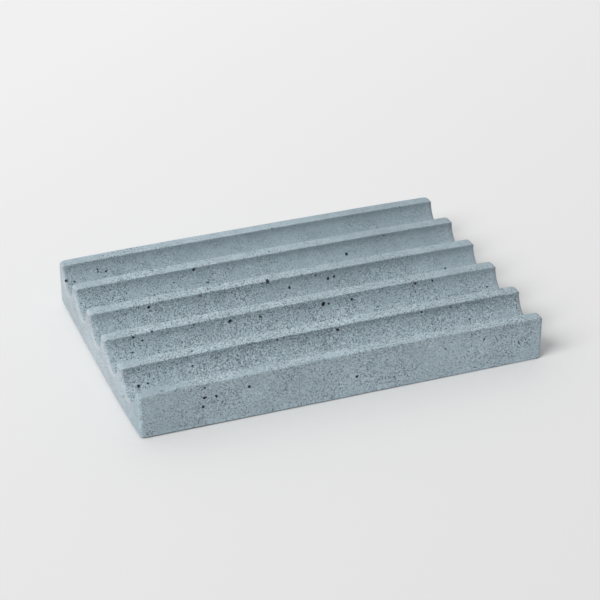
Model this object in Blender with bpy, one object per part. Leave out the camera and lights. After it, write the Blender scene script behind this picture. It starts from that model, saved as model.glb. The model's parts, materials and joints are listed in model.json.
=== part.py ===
"""Soap dish cast in fine terrazzo: a low ribbed slab with open drain channels, on four thin pads.

+X runs along the channels, +Y goes to the back and +Z goes up. The origin lies on the surface
that the dish stands on, under its middle. Everything is in metres.
"""
import math

import bmesh
import bpy
from mathutils import Matrix

# Slab
DISH_LENGTH = 0.1400
SLAB_THICKNESS = 0.0159
CORNER_RADIUS = 0.0012
TOP_EDGE_RADIUS = 0.0007
BASE_EDGE_RADIUS = 0.0004

# Drain channels, and the ribs that carry the soap between and beside them
CHANNEL_COUNT = 5
CHANNEL_WIDTH = 0.0137
CHANNEL_DEPTH = 0.0075
RIB_WIDTH = 0.0045

# Non-slip pads, and the pockets in the underside that hold them
PAD_DIAMETER = 0.0120
PAD_THICKNESS = 0.0012
PAD_STANDOFF = 0.0004
PAD_EDGE_CHAMFER = 0.0002
PAD_END_INSET = 0.0140
PAD_SIDE_INSET = 0.0130
PAD_CLEARANCE = 0.0003
POCKET_MOUTH_CHAMFER = 0.0003
CUT_OVERRUN = 0.0010

# Facets of the round shapes
CHANNEL_FACETS = 28
CORNER_FACETS = 5
EDGE_FACETS = 3
PAD_FACETS = 48
ROUND_PROFILE_SHARE = 0.5
SHARP_ANGLE = math.radians(30)
SAME_PLACE = 0.00001

# Finishes: base colour, roughness
CAST_STONE = ((0.43, 0.49, 0.53), 0.78)
PAD_RUBBER = ((0.30, 0.31, 0.32), 0.62)


def channel_centres():
    """Y of each channel's middle, front to back."""
    pitch = CHANNEL_WIDTH + RIB_WIDTH
    return [pitch * (index - (CHANNEL_COUNT - 1) / 2) for index in range(CHANNEL_COUNT)]


def half_width():
    """Y of the slab's back face: the ribs and channels side by side make up its width."""
    return (CHANNEL_COUNT * CHANNEL_WIDTH + (CHANNEL_COUNT + 1) * RIB_WIDTH) / 2


def pad_places():
    """X and Y of each pad's middle, by the name of its corner."""
    x = DISH_LENGTH / 2 - PAD_END_INSET
    y = half_width() - PAD_SIDE_INSET
    return {
        "front_left": (-x, -y),
        "front_right": (x, -y),
        "back_left": (-x, y),
        "back_right": (x, y),
    }


def finish(name, look):
    """Principled material of one colour and roughness."""
    colour, roughness = look
    material = bpy.data.materials.new(name)
    material.use_nodes = True
    shader = material.node_tree.nodes["Principled BSDF"]
    shader.inputs["Base Color"].default_value = (*colour, 1)
    shader.inputs["Roughness"].default_value = roughness
    shader.inputs["Metallic"].default_value = 0
    material.diffuse_color = (*colour, 1)
    return material


def mesh_from(bm, name):
    """Turn the modelled faces into a smooth-shaded mesh with crisp edges."""
    bmesh.ops.recalc_face_normals(bm, faces=bm.faces[:])
    mesh = bpy.data.meshes.new(name)
    bm.to_mesh(mesh)
    bm.free()
    mesh.shade_smooth()
    mesh.set_sharp_from_angle(angle=SHARP_ANGLE)
    return mesh


def place(name, mesh, location, parent, material=None):
    """Put a mesh in the scene as an object of its own."""
    piece = bpy.data.objects.new(name, mesh)
    bpy.context.scene.collection.objects.link(piece)
    piece.parent = parent
    piece.location = location
    if material and not mesh.materials:
        mesh.materials.append(material)
    return piece


def slab_outline():
    """End view of the slab as (y, z) points, from its underside up and over the ribs."""
    side = half_width()
    outline = [(-side, 0), (side, 0), (side, SLAB_THICKNESS)]
    for centre in reversed(channel_centres()):
        for step in range(CHANNEL_FACETS + 1):
            angle = math.pi * step / CHANNEL_FACETS
            across = CHANNEL_WIDTH / 2 * math.cos(angle)
            down = CHANNEL_DEPTH * math.sin(angle)
            outline.append((centre + across, SLAB_THICKNESS - down))
    outline.append((-side, SLAB_THICKNESS))
    return outline


def round_off(bm, edges, radius, facets):
    """Round the given edges, and the corners where they meet."""
    bmesh.ops.bevel(
        bm,
        geom=edges,
        offset=radius,
        offset_type="OFFSET",
        segments=facets,
        profile=ROUND_PROFILE_SHARE,
        affect="EDGES",
        clamp_overlap=True,
    )


def is_upright_corner(edge):
    """True for the slab's four outer vertical edges."""
    low, high = sorted(vert.co.z for vert in edge.verts)
    outer = all(abs(abs(vert.co.y) - half_width()) < SAME_PLACE for vert in edge.verts)
    return outer and high - low > SAME_PLACE


def is_base_edge(edge):
    """True where a side meets the underside."""
    low = all(vert.co.z < SAME_PLACE for vert in edge.verts)
    return low and edge.calc_face_angle() > SHARP_ANGLE


def slab_mesh():
    """Extrude the end view along the channels, then round the corners, base and ribs."""
    bm = bmesh.new()
    end = bm.faces.new([bm.verts.new((-DISH_LENGTH / 2, y, z)) for y, z in slab_outline()])
    far_end = bmesh.ops.extrude_face_region(bm, geom=[end])["geom"]
    far_verts = [item for item in far_end if isinstance(item, bmesh.types.BMVert)]
    bmesh.ops.translate(bm, verts=far_verts, vec=(DISH_LENGTH, 0, 0))
    bmesh.ops.recalc_face_normals(bm, faces=bm.faces[:])

    round_off(bm, [edge for edge in bm.edges if is_upright_corner(edge)], CORNER_RADIUS, CORNER_FACETS)
    round_off(bm, [edge for edge in bm.edges if is_base_edge(edge)], BASE_EDGE_RADIUS, EDGE_FACETS)
    sharp = [edge for edge in bm.edges if edge.calc_face_angle() > SHARP_ANGLE]
    round_off(bm, sharp, TOP_EDGE_RADIUS, EDGE_FACETS)
    return mesh_from(bm, "dish_body")


def turned_mesh(name, sections):
    """Solid of revolution about Z through (radius, height) sections, lowest first."""
    bm = bmesh.new()
    rings = []
    for radius, height in sections:
        level = Matrix.Translation((0, 0, height))
        rings.append(bmesh.ops.create_circle(bm, segments=PAD_FACETS, radius=radius, matrix=level)["verts"])
    for lower, upper in zip(rings, rings[1:]):
        for index in range(PAD_FACETS):
            after = (index + 1) % PAD_FACETS
            bm.faces.new((lower[index], lower[after], upper[after], upper[index]))
    bm.faces.new(rings[0])
    bm.faces.new(rings[-1])
    return mesh_from(bm, name)


def pad_mesh():
    """Thin disc with a chamfer round the edge that it stands on."""
    radius = PAD_DIAMETER / 2
    return turned_mesh("pad", [
        (radius - PAD_EDGE_CHAMFER, 0),
        (radius, PAD_EDGE_CHAMFER),
        (radius, PAD_THICKNESS),
    ])


def pocket_mesh():
    """Cutter for a round pocket with a chamfered mouth, measured from the slab's underside."""
    radius = PAD_DIAMETER / 2 + PAD_CLEARANCE
    depth = PAD_THICKNESS - PAD_STANDOFF + PAD_CLEARANCE
    mouth = radius + POCKET_MOUTH_CHAMFER
    return turned_mesh("pocket", [
        (mouth, -CUT_OVERRUN),
        (mouth, 0),
        (radius, POCKET_MOUTH_CHAMFER),
        (radius, depth),
    ])


def build():
    """Cast the slab, sink the pockets in its underside and set the pads in them."""
    for old in list(bpy.data.objects):
        bpy.data.objects.remove(old)

    dish = bpy.data.objects.new("soap_dish", None)
    bpy.context.scene.collection.objects.link(dish)

    slab = place("dish_body", slab_mesh(), (0, 0, PAD_STANDOFF), dish, finish("cast_stone", CAST_STONE))
    pad = pad_mesh()
    pocket = pocket_mesh()
    rubber = finish("pad_rubber", PAD_RUBBER)
    for corner, (x, y) in pad_places().items():
        place("pad_" + corner, pad, (x, y, 0), dish, rubber)
        cutter = place("pocket_" + corner, pocket, (x, y, PAD_STANDOFF), dish)
        cutter.hide_render = True
        cutter.display_type = "WIRE"
        cut = slab.modifiers.new("pocket_" + corner, "BOOLEAN")
        cut.operation = "DIFFERENCE"
        cut.solver = "EXACT"
        cut.object = cutter


build()
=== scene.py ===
"""Looks of a cast terrazzo soap dish: a ribbed slab with open air holes, its pads, and the stage."""
import json
import math
from functools import partial

import bmesh
import bpy
import numpy as np
from mathutils import Matrix, Quaternion, Vector


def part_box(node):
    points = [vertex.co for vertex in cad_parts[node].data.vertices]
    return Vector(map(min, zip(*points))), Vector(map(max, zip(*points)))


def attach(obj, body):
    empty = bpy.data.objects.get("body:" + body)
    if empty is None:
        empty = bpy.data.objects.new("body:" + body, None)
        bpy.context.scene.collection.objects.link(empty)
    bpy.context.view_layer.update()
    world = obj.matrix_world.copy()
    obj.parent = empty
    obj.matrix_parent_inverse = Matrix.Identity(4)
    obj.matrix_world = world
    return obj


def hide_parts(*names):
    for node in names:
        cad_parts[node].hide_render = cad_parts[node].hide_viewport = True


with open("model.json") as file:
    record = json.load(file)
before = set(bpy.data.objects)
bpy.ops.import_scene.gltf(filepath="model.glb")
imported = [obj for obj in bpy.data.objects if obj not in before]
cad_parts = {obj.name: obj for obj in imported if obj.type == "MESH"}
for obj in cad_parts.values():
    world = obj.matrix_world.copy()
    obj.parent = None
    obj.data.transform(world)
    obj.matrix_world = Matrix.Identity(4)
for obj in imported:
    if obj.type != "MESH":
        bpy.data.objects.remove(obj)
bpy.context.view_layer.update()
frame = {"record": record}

bl_info = {
    "name": "Terrazzo soap dish",
    "version": (1, 0, 0),
    "blender": (4, 5, 0),
    "location": "View3D > Sidebar > Soap Dish",
    "description": "Models and dresses a cast soap dish with ribs, drain channels and non-slip pads",
    "category": "Object",
}

SLAB_LOW, SLAB_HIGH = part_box("dish_body")
PAD_NODES = ("pad_front_left", "pad_front_right", "pad_back_left", "pad_back_right")
MM = 0.001  # a millimetre in metres

# Facets of the round shapes, the turns in degrees past which an edge counts as sharp or stays crisp, and
# the distance in metres below which two places count as one
BAR_FACETS = 88
DISC_FACETS = 96
FLOOR_FACETS = 128
SHARP_TURN = 35
CRISP_TURN = 38
SAME_PLACE = 1e-6

# The slab: pockets round the pads, slices across and up, the texture value at which a face stays
# where it is, and how far two of its ribs' bends reach
POCKET_CLEARANCE = 0.3 * MM
POCKET_CHAMFER = 0.3 * MM
SLICES_ACROSS, SLICES_UP = 17, 5
STRAY_MIDDLE = 0.9
THIRD_RIB_REACH = 9 * MM
RIB_DROP_RUN = 24 * MM

# Air bubbles: their radius as a share of the hole's width, how far two of their axes are scaled, and the
# power that makes small holes more common
BUBBLE_RADIUS = (0.54, 0.62)
BUBBLE_SQUASH = (0.78, 1.0)
BUBBLE_STRETCH = (0.85, 1.15)
SMALL_HOLE_BIAS = 2.5
# A smaller hole that runs into another: how far beside it and how wide, as shares of the other's width
JOINED_AWAY = (0.35, 0.55)
JOINED_WIDTH = (0.45, 0.75)

# The stone's features: sizes, how much larger the coarse sand is, and strengths as shares of brightness
RAGGED_SIZE, RAGGED_REACH = 0.5 * MM, 0.08 * MM
CLOUD_SIZE, SKIN_SIZE, CLUSTER_SIZE, MOTTLE_SIZE, FINE_SIZE = 30 * MM, 10 * MM, 8.5 * MM, 4.5 * MM, 0.5 * MM
COARSE_RATIO = 2.3
SAND_TONE, COARSE_TONE, LIP_TONE, CLOUD_TONE, MOTTLE_TONE = 0.18, 0.04, 0.12, 0.05, 0.05
LIGHT_STRENGTH, DARK_STRENGTH, PIT_SHADE_STRENGTH = 0.62, 0.8, 0.9
PATCH_SIZE, LEFT_PATCH_SIZE = 2.2 * MM, 1.6 * MM

# How strong the grain is: in the dish's middle, its change per metre, and its limits
GRAIN_MIDDLE, GRAIN_PER_X, GRAIN_PER_Y = 1.42, -12.5, -25.0
GRAIN_WEAKEST, GRAIN_STRONGEST = 0.38, 2.1

# The pads' rubber: sizes of its patches and of its fine texture, and that one's depth
RUBBER_PATCH, RUBBER_GRAIN, RUBBER_RELIEF = 4 * MM, 0.25 * MM, 0.03 * MM

# The floor, in metres, and the limits of the light fall-off painted on it
FLOOR_RADIUS = 6.0
FLOOR_DARKEST, FLOOR_PALEST = 0.90, 1.09

# The photograph's frame, and the camera's sensor in mm
PICTURE = 600
SENSOR = 36.0

# The channels' middles come from the openings that the record states, front to back
CHANNEL_CENTRES = sorted({
    round((opening["box_m"][0][1] + opening["box_m"][1][1]) / 2, 5)
    for opening in frame["record"]["physics"]["openings"]
})

# The air holes and chips that stand out on the real dish. On the channels' back
# walls and floors each has the channel's number from the front, its place along the dish, its depth
# below the ribs' tops and its width, all three in mm.
CHANNEL_HOLES = (
    (1, -64.7, 6.3, 1.2), (1, -61.6, 6.1, 0.9), (1, -51.2, 2.6, 0.65), (1, -46.3, 3.9, 0.75),
    (1, -17.2, 1.0, 0.8), (1, 3.7, 1.6, 1.1), (1, 33.5, 1.1, 0.95), (2, -60.0, 1.2, 1.05),
    (2, -57.1, 2.8, 0.85), (2, -53.6, 0.5, 0.7), (2, -39.5, 0.8, 0.75), (2, -27.0, 1.9, 1.3),
    (2, -16.6, 2.3, 0.9), (2, 5.9, 2.2, 1.6), (2, 7.8, 2.4, 0.95), (2, 16.1, 2.4, 1.05),
    (2, 24.9, 5.7, 0.65), (2, 39.4, 1.1, 1.1), (2, 46.1, 6.6, 0.65), (2, 45.7, 1.2, 1.0),
    (3, -49.4, 1.7, 1.25), (3, -7.2, 0.2, 1.4), (3, 0.3, 3.8, 0.95), (3, 10.1, 1.4, 0.75),
    (3, 14.5, 3.1, 1.1), (3, 16.7, 2.9, 1.1), (3, 57.5, 6.4, 0.75), (4, -27.7, 1.0, 1.2),
    (4, 28.2, 4.9, 1.3), (4, 43.0, 1.0, 0.65), (5, -68.7, 5.5, 1.05), (5, -66.0, 6.0, 0.8),
    (5, -54.4, 4.8, 0.9), (5, -57.3, 3.7, 0.75), (5, -57.1, 4.6, 0.6),
)
# On the front face: place along and height above the table, then width, in mm
FRONT_HOLES = (
    (-57.2, 15.2, 0.5), (-47.9, 10.7, 1.1), (-47.6, 14.3, 0.75), (-48.4, 7.5, 1.15), (-44.0, 10.6, 1.0),
    (-33.1, 11.5, 1.15), (3.3, 7.3, 1.15), (34.2, 11.1, 0.75), (47.8, 11.6, 0.75),
    (60.6, 7.8, 0.65), (49.5, 2.6, 0.6),
)


def make_property(kind, name, default, description, **limits):
    """A property of a kind, with its limits and unit."""
    return kind(name=name, default=default, description=description, **limits)


number = partial(make_property, bpy.props.FloatProperty)
whole = partial(make_property, bpy.props.IntProperty, min=0)
length = partial(number, min=0.0, precision=5, unit="LENGTH")
share = partial(number, min=0.0, max=1.0)
strength = partial(number, min=0.0, max=10.0)
colour = partial(
    make_property, bpy.props.FloatVectorProperty, subtype="COLOR", size=3, min=0.0, max=1.0,
)


def angle(name, degrees, description):
    """A property that holds an angle, given in degrees."""
    return number(name, math.radians(degrees), description, subtype="ANGLE")


class SlabShape(bpy.types.PropertyGroup):
    """Sizes of the cast slab."""
    channel_width: length("Channel width", 0.0137, "Width of a drain channel at its mouth")
    channel_depth: length("Channel depth", 0.0075, "Depth of a drain channel below the ribs")
    channel_wall: length("Upright wall", 0.00105, "Height of a channel's straight wall under its mouth")
    corner_radius: length("Corner radius", 0.0014, "Rounding of the slab's upright corners")
    end_radius: length("End radius", 0.0013, "Rounding where ribs and channels run out at the ends")
    rib_radius: length("Rib edge radius", 0.00038, "Rounding of the ribs' long edges")
    base_radius: length("Base edge radius", 0.00025, "Rounding under the long sides")
    base_end_radius: length("Base end radius", 0.0009, "Rounding under the ends")
    slice_length: length("Slice length", 0.0020, "Distance between the cuts that let the cast be uneven")
    unevenness: length("Unevenness", 0.00014, "How far the hand-cast faces stray inwards")
    swell_size: length("Swell size", 0.0140, "Width of the cast's gentle swells")
    crown: length("Crown", 0.0005, "How much lower the top lies at the ends than in the middle")
    drawn_corners: length("Drawn corners", 0.0003, "How far the corners fall short of the ends' middles")
    hollow_sides: length("Narrow sides", 0.0003, "How far the long sides stay inside the nominal width")
    front_corners: length("Front corners", 0.0005, "How much further the two front corners are drawn in")
    front_drop: length("Front drop", 0.0003, "How much lower still the top lies at the two front corners")
    front_turn: length("Front turn", 0.0003, "How far the front turns in on the left and out on the right")
    front_sag: length("Front sag", 0.00018, "How far the underside sags along the front, most at the right")
    rib_drop: length("Front rib drop", 0.00030, "How much lower the front rib's top lies, mostly on the left")
    back_in: length("Back in", 0.00042, "How far the rib at the back stands further in")
    third_rib: length("Third rib", 0.0004, "How far the third rib stands further back")


class HoleSettings(bpy.types.PropertyGroup):
    """Open air holes in the cast."""
    top_count: whole("Holes on top", 120, "Small holes scattered over ribs and channels")
    back_count: whole("Holes in the back", 16, "Small holes in the back face")
    end_count: whole("Holes in each end", 9, "Small holes in the left and right end")
    base_count: whole("Holes underneath", 45, "Small holes in the underside")
    smallest: length("Smallest hole", 0.00036, "Width of the smallest modelled hole")
    largest: length("Largest hole", 0.00080, "Width of the largest scattered hole")
    joined_share: share("Joined holes", 0.6, "Share of the holes that a smaller one runs into")
    seed: whole("Seed", 11, "Picks another scatter of holes")


class StoneFinish(bpy.types.PropertyGroup):
    """Colours and grain of the stone."""
    binder: colour("Stone", (0.318, 0.399, 0.446), "Overall blue-grey of the stone")
    # Dark grain also fills the pinholes, as painted shade in them
    dark_grain: colour("Dark grain", (0.085, 0.115, 0.135), "Darkest grains and pinholes")
    light_grain: colour("Light grain", (0.560, 0.630, 0.670), "Lightest grains of sand")
    # Pale grey mixed in along the corners and rims, and for the painted sheen on the end faces
    rubbed: colour("Rubbed stone", (0.475, 0.486, 0.497), "Paler stone of the ends and of worn rims")
    # Painted shade: the dark inside of the open air holes
    hole: colour("Inside holes", (0.092, 0.115, 0.133), "Stone inside the open air holes")
    grain_size: length("Grain size", 0.00030, "Size of a grain of sand")
    pinhole_spacing: length("Pinhole spacing", 0.00054, "Distance between pinholes")
    # How far in from a rim the stone is made paler, in patches
    pale_rim_width: length("Wear width", 0.0020, "How far in from a rim the stone is rubbed pale")
    # Painted sheen on the end faces, fullest on the left one
    end_painted_sheen: share("Pale ends", 0.36, "How pale the end faces are")
    # How much paler the corners and rims are made
    rim_pale: share("Pale rims", 0.50, "How pale the worn rims are")
    # Painted light on the ribs' tops, strongest on the left
    top_painted_light: share("Pale tops", 0.16, "How much lighter the ribs' tops are")
    side_pale: share("Pale foot", 0.20, "How much lighter the long sides are near the table")
    # Painted light fall-off along the dish, lighter towards the key light on the left
    left_painted_light: share("Pale left", 0.035, "How much lighter the left end is, and darker the right one")
    wall_shade: share("Shade under rims", 0.16, "How much darker the walls are just under a rim")
    relief: length("Relief", 0.00012, "Depth of the grain that light picks out")
    roughness: share("Roughness", 0.80, "How matt the stone is")


class PadFinish(bpy.types.PropertyGroup):
    """Shape and colour of the pads."""
    tint: colour("Rubber", (0.24, 0.25, 0.26), "Grey of the rubber")
    ring_count: whole("Grip rings", 3, "Fine rings moulded in a pad's underside")
    ring_depth: length("Ring depth", 0.00018, "Depth of a grip ring")
    ring_width: length("Ring width", 0.00055, "Width of a grip ring")
    edge_radius: length("Pad edge radius", 0.00018, "Rounding of a pad's rims")


class StageSettings(bpy.types.PropertyGroup):
    """Camera, lights and floor."""
    azimuth: angle("Camera azimuth", -20.67, "Turn round the dish")
    elevation: angle("Camera elevation", 29.54, "Angle above the table")
    roll: angle("Camera roll", -0.165, "Tilt of the camera to its left")
    distance: length("Camera distance", 0.6690, "From the camera to the table under the dish's middle")
    lens: number("Lens", 117.74, "Focal length", unit="CAMERA")
    middle_x: number("Middle across", 294.70, "Picture column of the dish's middle, in pixels")
    middle_y: number("Middle down", 327.58, "Picture row of the dish's middle, in pixels")
    key_strength: strength("Key light", 2.24, "Strength of the soft key light from the left")
    key_spread: angle("Key spread", 36.0, "Softness of its shadow")
    key_azimuth: angle("Key azimuth", 21.5, "How far the key light stands in front of the dish's left")
    key_elevation: angle("Key elevation", 41.5, "Height of the key light")
    sky: strength("Sky", 0.57, "Strength of the light from all round")
    sky_back: share("More from behind", 0.36, "How much brighter the sky is behind and darker in front")
    sky_left: share("More from the left", 0.06, "How much brighter the sky is on the left than on the right")
    floor: colour("Floor", (0.774, 0.774, 0.774), "Pale floor")
    # Painted light fall-off on the floor
    floor_falls_right: share("Floor darker to the right", 0.24, "Share by which it darkens over a metre")
    floor_rises_back: share("Floor lighter to the back", 0.31, "Share by which it lightens over a metre")
    backdrop: colour("Backdrop", (0.80, 0.80, 0.80), "What the camera sees past the floor")


GROUPS = {
    "dish_slab": SlabShape,
    "dish_holes": HoleSettings,
    "dish_stone": StoneFinish,
    "dish_pads": PadFinish,
    "dish_stage": StageSettings,
}


def between(first, last, part):
    """The value that lies a part of the way from one to another."""
    return first + (last - first) * part


def deselect():
    """Leave nothing selected, so that an operator acts on its own piece only."""
    if bpy.context.object and bpy.context.object.mode != "OBJECT":
        bpy.ops.object.mode_set(mode="OBJECT")
    bpy.ops.object.select_all(action="DESELECT")


def work_on(piece):
    """Make one piece the selected and active one."""
    deselect()
    piece.select_set(True)
    bpy.context.view_layer.objects.active = piece


def settle(piece):
    """Put a piece's place, turn and size into its mesh."""
    work_on(piece)
    bpy.ops.object.transform_apply(location=True, rotation=True, scale=True)


def select_parts(piece, kind, wanted):
    """Open a piece in edit mode with just its wanted edges or faces selected."""
    work_on(piece)
    bpy.ops.object.mode_set(mode="EDIT")
    bpy.ops.mesh.select_mode(type=kind)
    bpy.ops.mesh.select_all(action="DESELECT")
    bm = bmesh.from_edit_mesh(piece.data)
    for part in bm.faces if kind == "FACE" else bm.edges:
        part.select_set(wanted(part))
    bmesh.update_edit_mesh(piece.data)


def round_edges(piece, wanted, radius, segments):
    """Round the wanted edges of a piece."""
    select_parts(piece, "EDGE", wanted)
    bpy.ops.mesh.bevel(offset=radius, offset_type="OFFSET", segments=segments, profile=0.5)
    bpy.ops.object.mode_set(mode="OBJECT")


def apply_modifier(piece, modifier):
    """Apply one modifier of a piece."""
    work_on(piece)
    bpy.ops.object.modifier_apply(modifier=modifier.name)


def combine(piece, other, operation="DIFFERENCE", solver="EXACT"):
    """Take another solid out of a piece or add it, with the other's own material, and remove the other."""
    change = piece.modifiers.new("change", "BOOLEAN")
    change.operation = operation
    change.solver = solver
    change.material_mode = "TRANSFER"
    change.object = other
    apply_modifier(piece, change)
    bpy.data.objects.remove(other)


def smooth(piece):
    """Shade a piece smooth and keep its clear edges crisp."""
    work_on(piece)
    bpy.ops.object.shade_smooth_by_angle(angle=math.radians(CRISP_TURN))


def is_vertical(edge):
    """True for an edge that runs straight up."""
    run = edge.verts[0].co - edge.verts[1].co
    return abs(run.x) < SAME_PLACE and abs(run.y) < SAME_PLACE


def is_sharp(edge):
    """True where two faces meet at well over a facet's turn."""
    return edge.is_manifold and edge.calc_face_angle() > math.radians(SHARP_TURN)


def cast_block(shape):
    """A block of the slab's size with rounded upright corners."""
    bpy.ops.mesh.primitive_cube_add(
        size=1, location=(SLAB_LOW + SLAB_HIGH) / 2, scale=SLAB_HIGH - SLAB_LOW,
    )
    block = bpy.context.object
    block.name = "cast_slab"
    settle(block)
    round_edges(block, is_vertical, shape.corner_radius, 7)
    return block


def channel_cutter(shape):
    """A bar for every channel: round below, straight-walled at the mouth, and longer than the slab."""
    half = shape.channel_width / 2
    widest = half / math.sqrt(1 - (shape.channel_wall / shape.channel_depth) ** 2)
    overrun = shape.channel_depth
    bpy.ops.mesh.primitive_cylinder_add(
        vertices=BAR_FACETS,
        radius=widest,
        depth=SLAB_HIGH.x - SLAB_LOW.x + 2 * overrun,
        location=(0, CHANNEL_CENTRES[0], SLAB_HIGH.z),
        rotation=(0, math.pi / 2, 0),
        scale=(shape.channel_depth / widest, 1, 1),
    )
    bar = bpy.context.object
    settle(bar)
    bpy.ops.object.mode_set(mode="EDIT")
    bpy.ops.mesh.select_all(action="SELECT")
    bpy.ops.mesh.bisect(
        plane_co=(0, 0, SLAB_HIGH.z - shape.channel_wall), plane_no=(0, 0, 1),
        use_fill=True, clear_outer=True,
    )
    bpy.ops.mesh.extrude_region_move(
        TRANSFORM_OT_translate={"value": (0, 0, shape.channel_wall + overrun)},
    )
    bpy.ops.object.mode_set(mode="OBJECT")
    row = bar.modifiers.new("row", "ARRAY")
    row.count = len(CHANNEL_CENTRES)
    row.use_relative_offset = False
    row.use_constant_offset = True
    row.constant_offset_displace = (0, CHANNEL_CENTRES[1] - CHANNEL_CENTRES[0], 0)
    apply_modifier(bar, row)
    return bar


def pocket_cutter():
    """A round bar for each pad's pocket."""
    cutters = []
    for node in PAD_NODES:
        low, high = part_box(node)
        middle = (low + high) / 2
        radius = (high.x - low.x) / 2 + POCKET_CLEARANCE
        top = high.z + POCKET_CLEARANCE
        bottom = SLAB_LOW.z - MM
        deselect()
        bpy.ops.mesh.primitive_cylinder_add(
            vertices=DISC_FACETS, radius=radius, depth=top - bottom,
            location=(middle.x, middle.y, (top + bottom) / 2),
        )
        cutters.append(bpy.context.object)
        deselect()
        bpy.ops.mesh.primitive_cone_add(
            vertices=DISC_FACETS, radius1=radius + POCKET_CHAMFER + MM, radius2=radius - MM,
            depth=POCKET_CHAMFER + 2 * MM, location=(middle.x, middle.y, SLAB_LOW.z + POCKET_CHAMFER / 2),
        )
        combine(cutters[-1], bpy.context.object, "UNION")
    deselect()
    for cutter in cutters:
        cutter.select_set(True)
    bpy.context.view_layer.objects.active = cutters[0]
    bpy.ops.object.join()
    settle(cutters[0])
    return cutters[0]


def round_by_weight(piece, radius_of, segments):
    """Round each edge by the radius that a function gives for it, or not at all where that is 0."""
    rounded = bmesh.new()
    rounded.from_mesh(piece.data)
    radii = {edge.index: radius_of(edge) for edge in rounded.edges}
    widest = max(radii.values())
    layer = rounded.edges.layers.float.new("bevel_weight_edge")
    for edge in rounded.edges:
        edge[layer] = radii[edge.index] / widest
    rounded.to_mesh(piece.data)
    rounded.free()
    rounding = piece.modifiers.new("rounding", "BEVEL")
    rounding.width = widest
    rounding.segments = segments
    rounding.limit_method = "WEIGHT"
    rounding.use_clamp_overlap = False
    apply_modifier(piece, rounding)
    piece.data.attributes.remove(piece.data.attributes["bevel_weight_edge"])


def towards_end(edge, shape):
    """0 along the slab's long sides, 1 at its ends, and in between on its upright corners."""
    reach = (edge.verts[0].co + edge.verts[1].co) / 2
    into_corner = (abs(reach.x) - (SLAB_HIGH.x - shape.corner_radius)) / shape.corner_radius
    return min(max(into_corner, 0), 1)


def is_at_outline(edge, shape):
    """True for an edge on the slab's outer sides or upright corners."""
    near = 0.02 * MM
    middle = (edge.verts[0].co + edge.verts[1].co) / 2
    in_x = SLAB_HIGH.x - shape.corner_radius
    in_y = SLAB_HIGH.y - shape.corner_radius
    at_corner = abs(middle.x) > in_x + near and abs(middle.y) > in_y + near
    at_end = all(abs(vert.co.x) > SLAB_HIGH.x - near for vert in edge.verts)
    at_side = all(abs(vert.co.y) > SLAB_HIGH.y - near for vert in edge.verts)
    return at_corner or at_end or at_side


def round_base(piece, shape):
    """Round the slab's edges round its underside, more at the ends."""
    low = SLAB_LOW.z + 0.05 * MM

    def radius_of(edge):
        at_base = all(vert.co.z <= low for vert in edge.verts)
        if not (at_base and is_sharp(edge) and is_at_outline(edge, shape)):
            return 0
        return between(shape.base_radius, shape.base_end_radius, towards_end(edge, shape))

    round_by_weight(piece, radius_of, 4)


def round_rims(piece, shape):
    """Round the outer rims and the channels' open ends first, and then the ribs' long edges."""
    low = SLAB_LOW.z + 2 * MM

    def is_rim(edge):
        return is_sharp(edge) and all(vert.co.z >= low for vert in edge.verts)

    def outer_radius(edge):
        if not (is_rim(edge) and is_at_outline(edge, shape)):
            return 0
        return between(shape.rib_radius, shape.end_radius, towards_end(edge, shape))

    round_by_weight(piece, outer_radius, 6)
    round_by_weight(piece, lambda edge: shape.rib_radius if is_rim(edge) else 0, 4)


def slice_up(piece, shape):
    """Cut a piece across at even steps along, across and up, so that its faces can stray and bow."""
    work_on(piece)
    bpy.ops.object.mode_set(mode="EDIT")
    run = SLAB_HIGH - SLAB_LOW
    for axis, count in enumerate((round(run.x / shape.slice_length), SLICES_ACROSS, SLICES_UP)):
        normal = Vector((0, 0, 0))
        normal[axis] = 1
        for index in range(1, count):
            place = SLAB_LOW + normal * run[axis] * index / count
            bpy.ops.mesh.select_all(action="SELECT")
            bpy.ops.mesh.bisect(plane_co=place, plane_no=normal)
    bpy.ops.object.mode_set(mode="OBJECT")


def stray(piece, shape):
    """Let the hand-cast faces stray inwards a little."""
    swells = bpy.data.textures.new("cast_swells", "CLOUDS")
    swells.noise_scale = shape.swell_size
    swells.noise_depth = 2
    push = piece.modifiers.new("stray", "DISPLACE")
    push.texture = swells
    push.texture_coords = "LOCAL"
    push.mid_level = STRAY_MIDDLE
    push.strength = shape.unevenness
    apply_modifier(piece, push)


def bow(piece, shape):
    """Bow the cast as the hand-made one is: lower at ends and front rib, drawn in at corners and sides."""
    third = (CHANNEL_CENTRES[1] + CHANNEL_CENTRES[2]) / 2
    rib_width = CHANNEL_CENTRES[1] - CHANNEL_CENTRES[0] - shape.channel_width
    for vert in piece.data.vertices:
        along = vert.co.x / SLAB_HIGH.x
        across = vert.co.y / SLAB_HIGH.y
        rise = (vert.co.z - SLAB_LOW.z) / (SLAB_HIGH.z - SLAB_LOW.z)
        front, back = max(-across, 0), max(across, 0)
        over_rib = (vert.co.y - SLAB_LOW.y) / rib_width
        left = min(max(-vert.co.x / RIB_DROP_RUN, 0), 1)
        lean = max(left, min(over_rib, 1)) * math.exp(-max(over_rib - 1, 0) ** 2)
        vert.co.x -= along ** 5 * (shape.drawn_corners * across ** 2 + shape.front_corners * front ** 3)
        vert.co.x = min(max(vert.co.x, SLAB_LOW.x), SLAB_HIGH.x)
        vert.co.y -= shape.hollow_sides * across ** 9 + shape.back_in * back ** 3
        vert.co.y -= shape.front_turn * along * front ** 9
        vert.co.y += shape.third_rib * math.exp(-((vert.co.y - third) / THIRD_RIB_REACH) ** 2)
        vert.co.z -= abs(along) ** 3 * rise * (shape.crown + shape.front_drop * front ** 3)
        vert.co.z -= shape.front_sag * (0.9 + along) * front ** 3 * (1 - rise)
        vert.co.z -= shape.rib_drop * lean * rise ** 4


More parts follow.
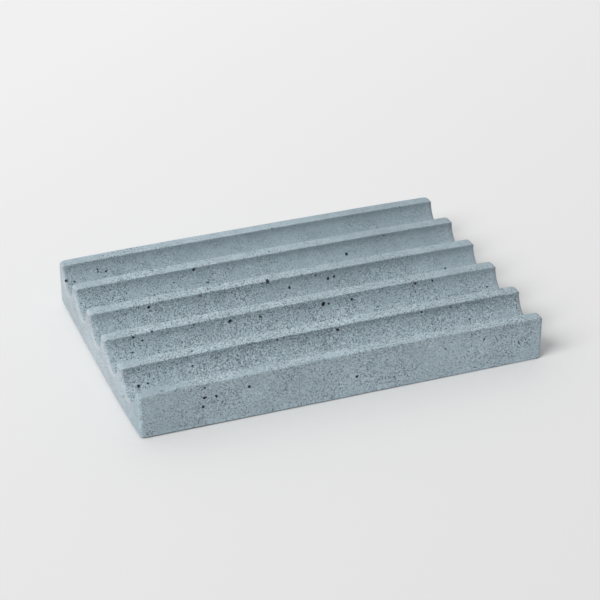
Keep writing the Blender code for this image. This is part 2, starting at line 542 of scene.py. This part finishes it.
def add_bubble(place, normal, width, rng):
    """One air bubble under the skin, open at the surface by its width. Needs the bubbles in edit mode."""
    radius = width * rng.uniform(*BUBBLE_RADIUS)
    sunk = math.sqrt(max(radius ** 2 - (width / 2) ** 2, 0))
    bpy.ops.mesh.primitive_ico_sphere_add(
        subdivisions=2,
        radius=radius,
        location=place - normal * sunk,
        rotation=tuple(rng.uniform(0, math.pi, 3)),
        scale=(1, rng.uniform(*BUBBLE_SQUASH), rng.uniform(*BUBBLE_STRETCH)),
    )


def marked_places(piece):
    """Place, outward normal and width of each hole that stands out."""
    rays = []
    for channel, along, depth, width in CHANNEL_HOLES:
        start = Vector((along * MM, CHANNEL_CENTRES[channel - 1], SLAB_HIGH.z - depth * MM))
        rays.append((start, width * MM))
    for along, height, width in FRONT_HOLES:
        rays.append((Vector((along * MM, SLAB_LOW.y - MM, height * MM)), width * MM))
    found = []
    for start, width in rays:
        hit, place, normal, _ = piece.ray_cast(start, Vector((0, 1, 0)))
        if hit:
            found.append((place, normal, width))
    return found


def scattered_places(piece, holes, rng):
    """Random places for small holes over the top, back, ends and underside."""
    low, high = SLAB_LOW, SLAB_HIGH
    found = []

    def scatter(count, start_of, direction):
        for _ in range(count):
            width = between(holes.smallest, holes.largest, rng.uniform() ** SMALL_HOLE_BIAS)
            hit, place, normal, _ = piece.ray_cast(start_of(rng.uniform(size=2)), Vector(direction))
            if hit:
                found.append((place, normal, width))

    margin = MM
    for count, height, direction in (
        (holes.top_count, high.z + margin, (0, 0, -1)), (holes.base_count, low.z - margin, (0, 0, 1)),
    ):
        scatter(count, lambda p: Vector((
            between(low.x, high.x, p[0]), between(low.y, high.y, p[1]), height)), direction)
    scatter(holes.back_count, lambda p: Vector((
        between(low.x, high.x, p[0]), high.y + margin, between(low.z, high.z, p[1]))), (0, -1, 0))
    for side, direction in ((low.x - margin, 1), (high.x + margin, -1)):
        scatter(holes.end_count, lambda p: Vector((
            side, between(low.y, high.y, p[0]), between(low.z, high.z, p[1]))), (direction, 0, 0))
    return found


def open_bubbles(piece, places, hole_shade_material, rng):
    """Cut a bubble out of a piece at each place. The places lie apart from each other."""
    deselect()
    bpy.ops.mesh.primitive_ico_sphere_add(subdivisions=1, radius=MM, location=(0, 0, 1))
    bubbles = bpy.context.object
    bpy.ops.object.transform_apply(location=True)
    bpy.ops.object.mode_set(mode="EDIT")
    bpy.ops.mesh.select_all(action="SELECT")
    bpy.ops.mesh.delete(type="VERT")
    for place, normal, width in places:
        add_bubble(place, normal, width, rng)
    bpy.ops.object.mode_set(mode="OBJECT")
    bubbles.data.materials.append(hole_shade_material)
    combine(piece, bubbles, solver="MANIFOLD")


def open_holes(piece, holes, hole_shade_material):
    """Cut the air holes open, the marked ones first, and then those that run into them."""
    rng = np.random.RandomState(holes.seed)
    places = marked_places(piece)
    for place, normal, width in scattered_places(piece, holes, rng):
        if all((place - other).length > width + wide for other, _, wide in places):
            places.append((place, normal, width))
    joined = []
    for place, normal, width in places:
        beside = normal.orthogonal().normalized()
        beside.rotate(Quaternion(normal, rng.uniform(0, 2 * math.pi)))
        if rng.uniform() < holes.joined_share:
            away, part = rng.uniform(*JOINED_AWAY), rng.uniform(*JOINED_WIDTH)
            joined.append((place + beside * width * away, normal, width * part))
    open_bubbles(piece, places, hole_shade_material, rng)
    open_bubbles(piece, joined, hole_shade_material, rng)


def new_material(name):
    """A material with its node tree, its Principled BSDF and its output."""
    material = bpy.data.materials.new(name)
    material.use_nodes = True
    return material, material.node_tree, material.node_tree.nodes["Principled BSDF"]


def connect(tree, value, socket):
    """Link a socket to an input, or set a plain value on it."""
    if isinstance(value, bpy.types.NodeSocket):
        tree.links.new(value, socket)
    elif hasattr(value, "__len__") and len(value) == 3 and socket.type == "RGBA":
        socket.default_value = (*value, 1)
    else:
        socket.default_value = value


def feed(tree, node, inputs):
    """Give a node its inputs, by name or number, each a socket or a plain value."""
    for key, value in inputs.items():
        connect(tree, value, node.inputs[key])
    return node


def add_node(tree, kind, inputs, **settings):
    """A shader node with its settings and inputs."""
    node = tree.nodes.new("ShaderNode" + kind)
    for name, value in settings.items():
        setattr(node, name, value)
    return feed(tree, node, inputs)


def mix_colours(tree, factor, first, second):
    """Mix two colours, each a socket or a plain colour, by a socket or number."""
    return add_node(tree, "Mix", {0: factor, 6: first, 7: second}, data_type="RGBA").outputs[2]


def maths(tree, operation, *values, clamp=False):
    """One Math node."""
    return add_node(tree, "Math", dict(enumerate(values)), operation=operation, use_clamp=clamp).outputs[0]


def fade(tree, value, low, high, to_low=0.0, to_high=1.0):
    """Map a value from one range to another, clamped."""
    values = dict(enumerate((value, low, high, to_low, to_high)))
    return add_node(tree, "MapRange", values, interpolation_type="SMOOTHSTEP").outputs[0]


def noise(tree, place, size, detail=2.0, roughness=0.5):
    """Noise with features of about a size in metres."""
    scale = maths(tree, "DIVIDE", 1.0, size)
    inputs = {"Vector": place, "Scale": scale, "Detail": detail, "Roughness": roughness}
    return add_node(tree, "TexNoise", inputs).outputs["Fac"]


def cells(tree, place, size):
    """Voronoi cells of a size in metres: distance from each cell's point, and a colour for each cell."""
    scale = maths(tree, "DIVIDE", 1.0, size)
    found = add_node(tree, "TexVoronoi", {"Vector": place, "Scale": scale}).outputs
    return found["Distance"], found["Color"]


def split_colour(tree, value):
    """The three parts of a colour."""
    return add_node(tree, "SeparateColor", {0: value}).outputs[:3]


def new_group(name, inputs, outputs):
    """An empty node group with its sockets, and its input and output nodes."""
    group = bpy.data.node_groups.new(name, "ShaderNodeTree")
    for label, kind, default in inputs:
        socket = group.interface.new_socket(name=label, in_out="INPUT", socket_type="NodeSocket" + kind)
        if default is not None:
            socket.default_value = default
    for label, kind in outputs:
        group.interface.new_socket(name=label, in_out="OUTPUT", socket_type="NodeSocket" + kind)
    return group, group.nodes.new("NodeGroupInput").outputs, group.nodes.new("NodeGroupOutput").inputs


def scale_colour(tree, value, amount):
    """A colour made lighter or darker."""
    return add_node(tree, "VectorMath", {0: value, "Scale": amount}, operation="SCALE").outputs[0]


def warped(tree, place, size, reach):
    """Places shifted a little by noise, so that what is drawn there comes out ragged."""
    drift = add_node(tree, "TexNoise", {"Vector": place, "Scale": 1 / size, "Detail": 1.0}).outputs["Color"]
    centred = add_node(tree, "VectorMath", {0: drift, 1: (0.5,) * 3}, operation="SUBTRACT").outputs[0]
    moved = {0: centred, 1: (2 * reach,) * 3, 2: place}
    return add_node(tree, "VectorMath", moved, operation="MULTIPLY_ADD").outputs[0]


def stone_grain_group():
    """Shared group: the sand, pinholes and clouding of cast stone, as a colour, a height and a roughness."""
    group, given, result = new_group("Stone Grain", (
        ("Place", "Vector", None),
        ("Stone", "Color", (0.33, 0.41, 0.46, 1)),
        ("Dark Grain", "Color", (0.12, 0.16, 0.19, 1)),
        ("Light Grain", "Color", (0.56, 0.63, 0.67, 1)),
        ("Grain Size", "Float", 0.0004),
        ("Pinhole Spacing", "Float", 0.0008),
        ("Contrast", "Float", 0.8),
        ("Roughness", "Float", 0.8),
    ), (("Color", "Color"), ("Height", "Float"), ("Roughness", "Float")))
    calc, ramp = partial(maths, group), partial(fade, group)
    times, weigh = partial(calc, "MULTIPLY"), partial(calc, "MULTIPLY_ADD")
    place = given["Place"]
    ragged = warped(group, place, RAGGED_SIZE, RAGGED_REACH)

    clouding = noise(group, place, CLOUD_SIZE, 3.0)
    mottling = noise(group, place, MOTTLE_SIZE)
    cluster = noise(group, place, CLUSTER_SIZE)
    skin = ramp(noise(group, place, SKIN_SIZE), 0.38, 0.56, 0.60, 1.04)
    contrast = times(given["Contrast"], skin)

    # Two sizes of sand, each grain of its own tone
    _, fine_colour = cells(group, ragged, given["Grain Size"])
    grain, pick, _ = split_colour(group, fine_colour)
    _, coarse_colour = cells(group, ragged, times(given["Grain Size"], COARSE_RATIO))
    coarse, _, _ = split_colour(group, coarse_colour)

    # Pinholes of mixed widths with a pale lip, thicker in clusters, and a few pale specks among them
    distance, hole_colour = cells(group, ragged, given["Pinhole Spacing"])
    hole_pick, speck_pick, _ = split_colour(group, hole_colour)
    reach = times(ramp(hole_pick, 0.0, 1.0, 0.06, 0.40), ramp(cluster, 0.36, 0.60, 0.5, 1.0))
    inside = calc("SUBTRACT", reach, distance)
    pinhole = ramp(inside, -0.03, 0.04)
    lip = calc("SUBTRACT", ramp(inside, -0.34, -0.08), pinhole)
    speck = times(ramp(speck_pick, 0.86, 0.90), ramp(distance, 0.42, 0.30))

    sand = ramp(grain, 0.0, 1.0, -SAND_TONE, SAND_TONE)
    sand = calc("ADD", sand, ramp(coarse, 0.0, 1.0, -COARSE_TONE, COARSE_TONE))
    sand = weigh(lip, LIP_TONE, sand)
    tone = weigh(sand, contrast, ramp(clouding, 0.3, 0.7, 1 - CLOUD_TONE, 1 + CLOUD_TONE))
    tone = calc("ADD", tone, ramp(mottling, 0.3, 0.7, -MOTTLE_TONE, MOTTLE_TONE))
    shade = scale_colour(group, given["Stone"], tone)
    light = times(times(calc("MAXIMUM", ramp(pick, 0.86, 0.92), speck), LIGHT_STRENGTH), contrast)
    dark = times(times(ramp(pick, 0.11, 0.07), DARK_STRENGTH), contrast)
    # Pinholes filled with dark grain: painted shade in them
    pit_shade = times(times(pinhole, PIT_SHADE_STRENGTH), contrast, clamp=True)
    shade = mix_colours(group, light, shade, given["Light Grain"])
    shade = mix_colours(group, dark, shade, given["Dark Grain"])
    connect(group, mix_colours(group, pit_shade, shade, given["Dark Grain"]), result["Color"])

    height = weigh(grain, 0.35, times(noise(group, place, FINE_SIZE, 3.0, 0.6), 0.8))
    height = weigh(mottling, 1.5, height)
    connect(group, weigh(pinhole, -1.6, height), result["Height"])
    rough = calc("ADD", given["Roughness"], ramp(grain, 0.0, 1.0, -0.06, 0.06))
    connect(group, weigh(pinhole, 0.1, rough, clamp=True), result["Roughness"])
    return group


def rim_paling_and_painted_light_group(shape, look):
    """Shared group: how much paler a place is at corners and rims, how far it belongs to each kind of face,
    the painted sheen, light and shade on them, and its grain's strength.
    """
    labels = ("Wear", "End", "Foot", "Top", "Shade", "Contrast", "Left")
    group, given, result = new_group(
        "Rim Paling And Painted Light", (("Place", "Vector", None),), [(label, "Float") for label in labels],
    )
    x, y, z = add_node(group, "SeparateXYZ", {0: given["Place"]}).outputs
    calc, ramp = partial(maths, group), partial(fade, group)
    both, either, weigh = partial(calc, "MULTIPLY"), partial(calc, "MAXIMUM"), partial(calc, "MULTIPLY_ADD")

    def close(gap, width):
        """1 where there is no gap, and 0 from a width on."""
        return ramp(gap, 0.0, width, 1.0, 0.0)

    def along_x(first, last, *levels):
        """A fade along the dish between two places in mm."""
        return ramp(x, first * MM, last * MM, *levels)

    def along_y(first, last, *levels):
        """A fade across the dish between two places in mm."""
        return ramp(y, first * MM, last * MM, *levels)

    # Gaps from the ends, sides and top of the bowed cast
    along = calc("DIVIDE", calc("ABSOLUTE", x), SLAB_HIGH.x)
    across = calc("DIVIDE", calc("ABSOLUTE", y), SLAB_HIGH.y)
    end_gap = weigh(along, -SLAB_HIGH.x, SLAB_HIGH.x)
    end_gap = weigh(calc("POWER", across, 2), -shape.drawn_corners, end_gap)
    side_gap = weigh(across, -SLAB_HIGH.y, SLAB_HIGH.y - shape.hollow_sides)
    summit = weigh(calc("POWER", along, 3), -shape.crown, SLAB_HIGH.z)
    lean = both(either(ramp(x, 0.0, -RIB_DROP_RUN), along_y(-47.7, -43.3)), along_y(-42.0, -43.2))
    summit = weigh(lean, -shape.rib_drop, summit)
    depth = either(calc("SUBTRACT", summit, z), 0.0)

    # The gap from a channel's wall, taken as an ellipse
    pitch = CHANNEL_CENTRES[1] - CHANNEL_CENTRES[0]
    turn = calc("FRACT", weigh(y, 1 / pitch, 0.5))
    off_centre = weigh(turn, pitch, -pitch / 2)
    wide = calc("POWER", calc("DIVIDE", calc("ABSOLUTE", off_centre), shape.channel_width / 2), 2)
    deep = calc("POWER", calc("DIVIDE", depth, shape.channel_depth), 2)
    out = calc("SUBTRACT", calc("SQRT", calc("ADD", wide, deep)), 1.0)
    rim_gap = both(calc("ABSOLUTE", out), shape.channel_depth)

    # Paler stone on corners and rims, in patches
    broad, slim = look.pale_rim_width, 0.35 * look.pale_rim_width
    corner = both(close(end_gap, broad), close(side_gap, broad))
    end_rim = both(close(end_gap, broad), either(close(depth, broad), close(rim_gap, broad)))
    long_rim = both(close(depth, slim), either(close(rim_gap, slim), close(side_gap, slim)))
    worn = either(either(corner, end_rim), both(long_rim, 0.7))
    patches = noise(group, given["Place"], PATCH_SIZE, 3.0)
    worn = weigh(calc("SUBTRACT", patches, 0.5), 0.9, worn)
    connect(group, ramp(worn, 0.40, 0.95), result["Wear"])

    # The ends' painted sheen, the foot with the left corner and rim, and the tops' painted light
    side = close(side_gap, 0.5 * MM)
    connect(group, both(close(end_gap, 0.7 * MM), along_x(-20, 20, 1.0, 0.45)), result["End"])
    left_corner = both(corner, along_x(-60, -66))
    left_rim = both(both(side, along_x(-48, -62)), ramp(depth, 3.2 * MM, 0.6 * MM))
    left_rim = both(left_rim, ramp(noise(group, given["Place"], LEFT_PATCH_SIZE), 0.40, 0.58))
    left_corner = weigh(left_rim, 0.5, left_corner)
    foot = both(side, ramp(depth, 0.0, 9 * MM, 0.45, 1.0))
    foot = weigh(ramp(depth, 13.4 * MM, 15.0 * MM), 0.5, foot)
    connect(group, weigh(left_corner, 1.3, foot), result["Foot"])
    # Painted light on the tops, fading towards the right
    top = both(close(depth, 0.35 * MM), along_x(-10, 45, 1.0, 0.2))
    connect(group, top, result["Top"])

    # The shade just under a rim, on the channels' back walls and the front
    back_wall = both(ramp(off_centre, 3 * MM, 5 * MM), close(rim_gap, 0.8 * MM))
    back_wall = both(back_wall, along_x(-40, 40, 0.5, 1.0))
    front = both(side, along_x(-55, -20, 0.0, 0.4))
    band = both(ramp(depth, 0.2 * MM, 0.7 * MM), ramp(depth, 1.2 * MM, 3.6 * MM, 1.0, 0.0))
    connect(group, both(band, either(back_wall, front)), result["Shade"])

    # The grain's strength, by place and kind of face, and full again on the faces that look away
    contrast = weigh(y, GRAIN_PER_Y, weigh(x, GRAIN_PER_X, GRAIN_MIDDLE))
    contrast = calc("MINIMUM", either(contrast, GRAIN_WEAKEST), GRAIN_STRONGEST)
    contrast = both(both(contrast, along_y(-47, -32, 0.70, 1.0)), along_x(-66, -38, 0.62, 1.0))
    for mask, change in (
        (side, -0.15),
        (both(top, along_y(-36, -20)), 0.25),
        (both(close(depth, MM), along_x(-54, -64)), -0.5),
        (either(corner, end_rim), -0.55),
    ):
        contrast = both(contrast, weigh(mask, change, 1.0))
    contrast = both(contrast, ramp(end_gap, 0.0, 1.2 * MM, 0.45, 1.0))
    far_faces = either(along_y(46.6, 47.0), along_x(69.1, 69.6, 0.0, 0.8))
    far_faces = either(far_faces, ramp(z, 0.8 * MM, 0.5 * MM))
    connect(group, either(contrast, far_faces), result["Contrast"])
    # Painted light fall-off: 1 at the left end, -1 at the right
    connect(group, along_x(-65, 65, 1.0, -1.0), result["Left"])
    return group


def stone_material(name, stone, look, grain_group, paling_and_light_group=None):
    """Cast stone of one overall colour, made paler at its rims and given painted sheen, light and shade where
    a group for that is given.
    """
    material, tree, shader = new_material(name)
    where = add_node(tree, "TexCoord", {}).outputs["Object"]
    grain = add_node(tree, "Group", {
        "Place": where, "Stone": stone, "Roughness": look.roughness,
        "Dark Grain": look.dark_grain, "Light Grain": look.light_grain,
        "Grain Size": look.grain_size, "Pinhole Spacing": look.pinhole_spacing,
    }, node_tree=grain_group)
    made = grain.outputs
    if paling_and_light_group:
        rims = add_node(tree, "Group", {"Place": where}, node_tree=paling_and_light_group).outputs
        # Paler at corners and rims, and painted sheen on the end faces
        rubbed = maths(tree, "MULTIPLY", rims["Wear"], look.rim_pale)
        rubbed = maths(tree, "MULTIPLY_ADD", rims["End"], look.end_painted_sheen, rubbed)
        paled = mix_colours(tree, rubbed, stone, look.rubbed)
        # Painted light on the tops and towards the left, the lighter foot, and painted shade under the rims
        tone = 1.0
        for mask, amount in (
            ("Top", look.top_painted_light), ("Left", look.left_painted_light),
            ("Foot", look.side_pale), ("Shade", -look.wall_shade),
        ):
            tone = maths(tree, "MULTIPLY_ADD", rims[mask], amount, tone)
        feed(tree, grain, {"Stone": scale_colour(tree, paled, tone), "Contrast": rims["Contrast"]})
    bump = add_node(tree, "Bump", {"Distance": look.relief, "Strength": 1.0, "Height": made["Height"]})
    feed(tree, shader, {
        "Base Color": made["Color"], "Roughness": made["Roughness"], "Normal": bump.outputs["Normal"],
    })
    return material


def pad_material(look):
    """Matt grey rubber with a fine moulded texture."""
    material, tree, shader = new_material("pad_rubber")
    where = add_node(tree, "TexCoord", {}).outputs["Object"]
    patch = noise(tree, where, RUBBER_PATCH, 3.0)
    darker = tuple(0.9 * part for part in look.tint)
    bump = add_node(tree, "Bump", {"Distance": RUBBER_RELIEF, "Height": noise(tree, where, RUBBER_GRAIN)})
    feed(tree, shader, {
        "Base Color": mix_colours(tree, fade(tree, patch, 0.3, 0.7), darker, look.tint),
        "Roughness": fade(tree, patch, 0.3, 0.7, 0.55, 0.68),
        "Normal": bump.outputs["Normal"],
    })
    return material


class DISH_OT_cast_slab(bpy.types.Operator):
    """Model the cast slab with its ribs, channels, pockets and air holes"""
    bl_idname = "soap_dish.cast_slab"
    bl_label = "Cast slab"

    def execute(self, context):
        scene = context.scene
        shape, holes, look = scene.dish_slab, scene.dish_holes, scene.dish_stone
        grain = stone_grain_group()
        stone = stone_material("cast_stone", look.binder, look, grain, rim_paling_and_painted_light_group(shape, look))
        # The holes' insides, painted dark as shade
        inside = stone_material("stone_in_holes_painted_shade", look.hole, look, grain)
        deselect()
        slab = cast_block(shape)
        combine(slab, channel_cutter(shape))
        combine(slab, pocket_cutter())
        round_base(slab, shape)
        round_rims(slab, shape)
        slice_up(slab, shape)
        stray(slab, shape)
        bow(slab, shape)
        slab.data.materials.clear()
        slab.data.materials.append(stone)
        open_holes(slab, holes, inside)
        smooth(slab)
        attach(slab, "root")
        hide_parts("dish_body")
        return {"FINISHED"}


class DISH_OT_set_pads(bpy.types.Operator):
    """Model the four non-slip pads in their pockets"""
    bl_idname = "soap_dish.set_pads"
    bl_label = "Set pads"

    def execute(self, context):
        look = context.scene.dish_pads
        boxes = [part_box(node) for node in PAD_NODES]
        middles = [(low + high) / 2 for low, high in boxes]
        pads = [self.mould_pad(*boxes[0], look)]
        pads[0].data.materials.append(pad_material(look))
        for middle in middles[1:]:
            work_on(pads[0])
            bpy.ops.object.duplicate(linked=False)
            pads.append(bpy.context.object)
            bpy.ops.transform.translate(value=middle - middles[0])
            settle(pads[-1])
        for node, pad in zip(PAD_NODES, pads):
            pad.name = node.replace("pad", "rubber_pad")
            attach(pad, "root")
            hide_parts(node)
        return {"FINISHED"}

    @staticmethod
    def mould_pad(low, high, look):
        """A disc with rounded rims and fine grip rings in its underside."""
        middle = (low + high) / 2
        radius = (high.x - low.x) / 2
        deselect()
        bpy.ops.mesh.primitive_cylinder_add(
            vertices=DISC_FACETS, radius=radius, depth=high.z - low.z, location=middle,
        )
        pad = bpy.context.object
        settle(pad)
        select_parts(pad, "FACE", lambda face: face.normal.z < -0.9)
        step = radius / (look.ring_count + 1)
        slope = look.ring_width / 4
        for _ in range(look.ring_count):
            for thickness, depth in (
                (step - look.ring_width, 0), (slope, -look.ring_depth),
                (2 * slope, 0), (slope, look.ring_depth),
            ):
                bpy.ops.mesh.inset(thickness=thickness, depth=depth)
        bpy.ops.object.mode_set(mode="OBJECT")
        round_edges(
            pad,
            lambda edge: is_sharp(edge)
            and all((vert.co.xy - middle.xy).length > radius - 0.01 * MM for vert in edge.verts),
            look.edge_radius, 3,
        )
        smooth(pad)
        return pad


class DISH_OT_dress_stage(bpy.types.Operator):
    """Add the floor, the lights and the camera"""
    bl_idname = "soap_dish.dress_stage"
    bl_label = "Dress stage"

    def execute(self, context):
        stage = context.scene.dish_stage
        self.add_floor(stage)
        self.add_lights(context, stage)
        self.add_camera(context, stage)
        context.scene.view_settings.view_transform = "Standard"
        return {"FINISHED"}

    @staticmethod
    def add_floor(stage):
        """A wide pale floor, with light fall-off painted on it: darker to the right and lighter to the back.
        """
        deselect()
        bpy.ops.mesh.primitive_circle_add(
            vertices=FLOOR_FACETS, radius=FLOOR_RADIUS, fill_type="NGON", location=(0, 0, 0),
        )
        floor = bpy.context.object
        floor.name = "floor"
        material, tree, shader = new_material("floor")
        where = add_node(tree, "TexCoord", {}).outputs["Object"]
        split = add_node(tree, "SeparateXYZ", {0: where}).outputs
        # Painted light fall-off: darker to the right, lighter to the back
        painted_falloff = maths(tree, "MULTIPLY_ADD", split["X"], -stage.floor_falls_right, 1.0)
        painted_falloff = maths(tree, "MULTIPLY_ADD", split["Y"], stage.floor_rises_back, painted_falloff)
        painted_falloff = maths(tree, "MAXIMUM", painted_falloff, FLOOR_DARKEST)
        painted_falloff = maths(tree, "MINIMUM", painted_falloff, FLOOR_PALEST)
        tint = scale_colour(tree, stage.floor, painted_falloff)
        feed(tree, shader, {"Base Color": tint, "Roughness": 0.9, "Specular IOR Level": 0.0})
        floor.data.materials.append(material)

    @staticmethod
    def add_lights(context, stage):
        """One soft key from the left, and even light all round that shows as a pale backdrop."""
        aim = Vector((
            -math.cos(stage.key_azimuth) * math.cos(stage.key_elevation),
            -math.sin(stage.key_azimuth) * math.cos(stage.key_elevation),
            math.sin(stage.key_elevation),
        ))
        deselect()
        bpy.ops.object.light_add(type="SUN", location=aim)
        key = bpy.context.object
        key.name = "key_light"
        key.data.energy = stage.key_strength
        key.data.angle = stage.key_spread
        key.rotation_euler = aim.to_track_quat("Z", "Y").to_euler()

        world = bpy.data.worlds.new("studio")
        world.use_nodes = True
        context.scene.world = world
        tree = world.node_tree
        toward = add_node(tree, "TexCoord", {}).outputs["Generated"]
        split = add_node(tree, "SeparateXYZ", {0: toward}).outputs
        glow = maths(tree, "MULTIPLY", split["Y"], stage.sky_back)
        glow = maths(tree, "ADD", glow, maths(tree, "MULTIPLY", split["X"], -stage.sky_left))
        glow = maths(tree, "MAXIMUM", maths(tree, "ADD", glow, stage.sky), 0.0)
        light = feed(tree, tree.nodes["Background"], {"Color": (1, 1, 1), "Strength": glow})
        seen = add_node(tree, "Background", {"Color": stage.backdrop})
        path = add_node(tree, "LightPath", {}).outputs
        direct = maths(tree, "MAXIMUM", path["Is Camera Ray"], path["Is Glossy Ray"])
        direct = maths(tree, "MAXIMUM", direct, path["Is Transmission Ray"])
        choose = add_node(tree, "MixShader", {0: direct, 1: light.outputs[0], 2: seen.outputs[0]})
        feed(tree, tree.nodes["World Output"], {0: choose.outputs[0]})

    @staticmethod
    def add_camera(context, stage):
        """A camera at the photograph's place, aimed so that the dish lies where the photograph has it."""
        centre = (PICTURE - 1) / 2
        level = Vector((math.cos(stage.azimuth), math.sin(stage.azimuth), 0))
        back = Vector((
            math.sin(stage.azimuth) * math.cos(stage.elevation),
            -math.cos(stage.azimuth) * math.cos(stage.elevation),
            math.sin(stage.elevation),
        ))
        level.rotate(Quaternion(back, stage.roll))
        right, up = level, back.cross(level)
        pixel = stage.distance * SENSOR / stage.lens / PICTURE
        place = back * stage.distance
        place -= right * (stage.middle_x - centre) * pixel
        place += up * (stage.middle_y - centre) * pixel
        bpy.ops.object.camera_add(location=place, rotation=Matrix((right, up, back)).transposed().to_euler())
        camera = bpy.context.object
        camera.name = "photo_camera"
        camera.data.sensor_width = SENSOR
        camera.data.lens = stage.lens
        camera.data.clip_start = 0.01
        camera.data.clip_end = 50
        context.scene.camera = camera


class VIEW3D_PT_soap_dish(bpy.types.Panel):
    """Sizes, colours and steps of the soap dish"""
    bl_label = "Soap dish"
    bl_space_type = "VIEW_3D"
    bl_region_type = "UI"
    bl_category = "Soap Dish"

    def draw(self, context):
        for operator in OPERATORS:
            self.layout.operator(operator.bl_idname)
        for name, group in GROUPS.items():
            box = self.layout.box()
            box.label(text=group.__doc__)
            for item in group.__annotations__:
                box.prop(getattr(context.scene, name), item)


OPERATORS = (DISH_OT_cast_slab, DISH_OT_set_pads, DISH_OT_dress_stage)


def register():
    """Register the groups, operators and panel."""
    for group in GROUPS.values():
        bpy.utils.register_class(group)
    for cls in (*OPERATORS, VIEW3D_PT_soap_dish):
        bpy.utils.register_class(cls)
    for name, group in GROUPS.items():
        setattr(bpy.types.Scene, name, bpy.props.PointerProperty(type=group))


def unregister():
    """Undo register."""
    for name in GROUPS:
        delattr(bpy.types.Scene, name)
    for cls in (VIEW3D_PT_soap_dish, *reversed(OPERATORS), *reversed(GROUPS.values())):
        bpy.utils.unregister_class(cls)


def main():
    """Build the whole scene."""
    register()
    bpy.ops.soap_dish.cast_slab()
    bpy.ops.soap_dish.set_pads()
    bpy.ops.soap_dish.dress_stage()


if __name__ == "__main__":
    main()
